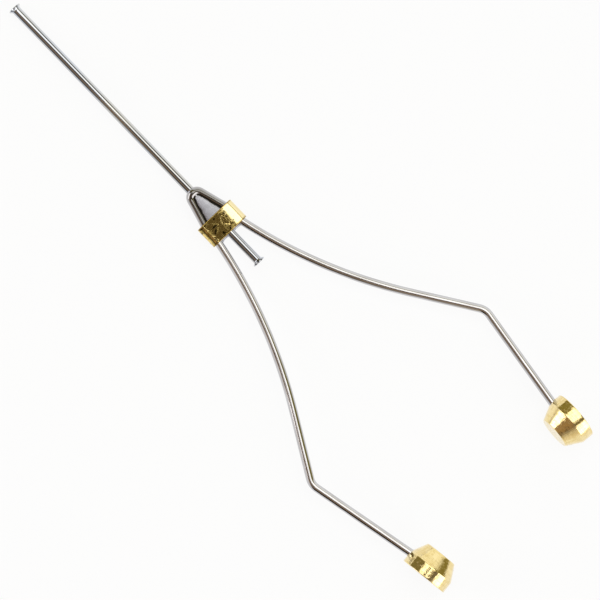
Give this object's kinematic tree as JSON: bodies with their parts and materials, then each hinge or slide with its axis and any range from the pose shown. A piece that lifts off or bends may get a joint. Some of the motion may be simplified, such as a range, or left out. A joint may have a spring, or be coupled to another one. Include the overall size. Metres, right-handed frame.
{
  "type": "fly tying bobbin holder",
  "caption": "Slender thread tube soldered into a sprung steel wire frame with a brass collar, whose arms grip a spool of tying thread between turned brass cups.",
  "frame": {"origin": "on the thread tube's axis, half way along the brass collar", "axes": "+X along the tube and out of its tip, +Y towards the left arm, +Z square to the flat of the wire frame and up when the object lies on a table"},
  "size_m": [0.1276, 0.045, 0.0093],
  "materials": {
    "steel_tube": "polished stainless tube",
    "steel_wire": "polished drawn stainless wire",
    "collar_brass": "polished",
    "cup_brass": "turned, with fine lathe marks",
    "solder": "dull grey solder"
  },
  "bodies": {
    "head": {"thread_tube": "steel_tube", "wire_head": "steel_wire", "collar": "collar_brass", "solder_fill": "solder"},
    "left_side": {"left_arm": "steel_wire", "left_cup": "cup_brass"},
    "right_side": {"right_arm": "steel_wire", "right_cup": "cup_brass"}
  },
  "joints": [
    {"name": "left_arm_flex", "type": "hinge", "parent": "head", "child": "left_side", "pos_m": [-0.00297, 0.00301, 0], "axis": [0, 0, -1], "range_deg": [-6, 8], "stiffness_Nm_per_rad": 1.6},
    {"name": "right_arm_flex", "type": "hinge", "parent": "head", "child": "right_side", "pos_m": [-0.00313, -0.00307, 0], "axis": [0, 0, 1], "range_deg": [-6, 8], "stiffness_Nm_per_rad": 1.6}
  ]
}
